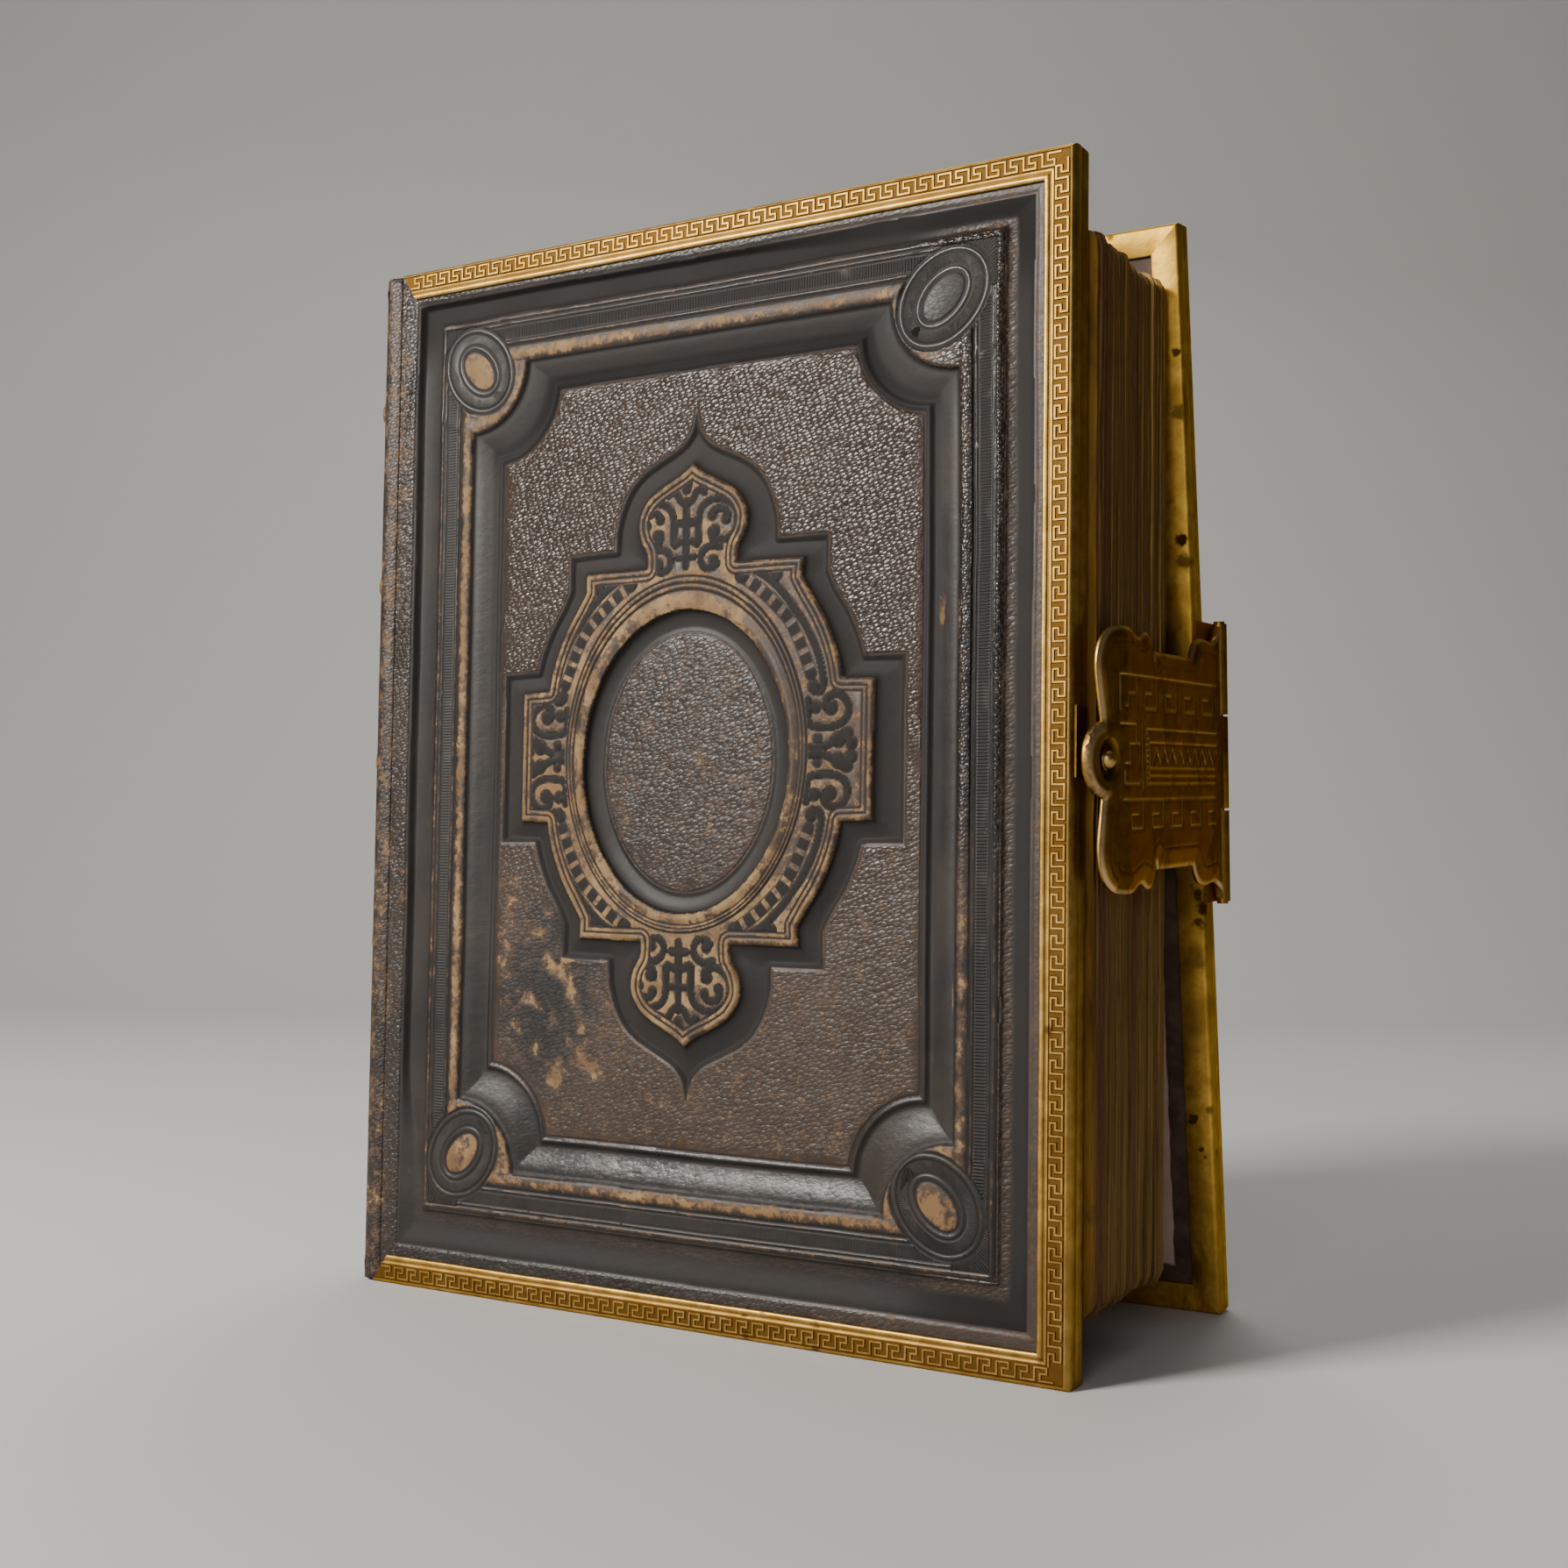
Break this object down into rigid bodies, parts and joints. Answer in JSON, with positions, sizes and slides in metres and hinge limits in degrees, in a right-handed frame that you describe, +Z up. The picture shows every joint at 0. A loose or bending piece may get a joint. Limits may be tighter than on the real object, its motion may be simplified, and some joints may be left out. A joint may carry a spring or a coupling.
{
  "type": "photo album",
  "caption": "Upright Victorian photograph album: embossed leather boards with brass rims, gilt card leaves, rounded leather spine and a hinged brass clasp.",
  "frame": {"origin": "middle of the footprint, on the surface the album stands on", "axes": "+Z up from tail to head, -Y out of the front cover, +X towards the fore-edge and clasp"},
  "size_m": [0.1252, 0.0566, 0.155],
  "materials": {
    "leather": "dark brown pebbled and embossed leather, worn tan on the high edges",
    "gilt_brass": "stamped gilt brass, lightly tarnished",
    "clasp_brass": "brown toned engraved brass with bright edges",
    "gilt_paper": "card leaves with worn gilt edges",
    "lining_paper": "pale pink lining paper, toned brown at the edges",
    "board": "grey-brown millboard"
  },
  "bodies": {
    "text_block": {"page_block": "gilt_paper", "spine_lining": "board", "spine_leather": "leather"},
    "front_cover": {"front_board": "board", "front_leather": "leather", "front_lining": "lining_paper", "front_rim_tail": "gilt_brass", "front_rim_head": "gilt_brass", "front_rim_fore_edge": "gilt_brass", "catch_plate": "gilt_brass"},
    "rear_cover": {"rear_board": "board", "rear_leather": "leather", "rear_lining": "lining_paper", "rear_rim_tail": "gilt_brass", "rear_rim_head": "gilt_brass", "rear_rim_fore_edge": "gilt_brass", "clasp_hinge_leaf": "clasp_brass", "clasp_leaf_pins": "clasp_brass", "clasp_hinge_pin": "clasp_brass"},
    "clasp": {"clasp_strap": "clasp_brass", "clasp_knob": "clasp_brass"}
  },
  "joints": [
    {"name": "front_cover_hinge", "type": "hinge", "parent": "text_block", "child": "front_cover", "pos_m": [-0.05638, -0.02726, 0.0775], "axis": [0, 0, -1], "range_deg": [0, 170]},
    {"name": "rear_cover_hinge", "type": "hinge", "parent": "text_block", "child": "rear_cover", "pos_m": [-0.05368, 0.0287, 0.00065], "axis": [0, -0.1305, 0.9914], "range_deg": [0, 170]},
    {"name": "clasp_hinge", "type": "hinge", "parent": "rear_cover", "child": "clasp", "pos_m": [0.06153, 0.01974, 0.0795], "axis": [0, -0.0506, 0.9987], "range_deg": [0, 175]}
  ]
}
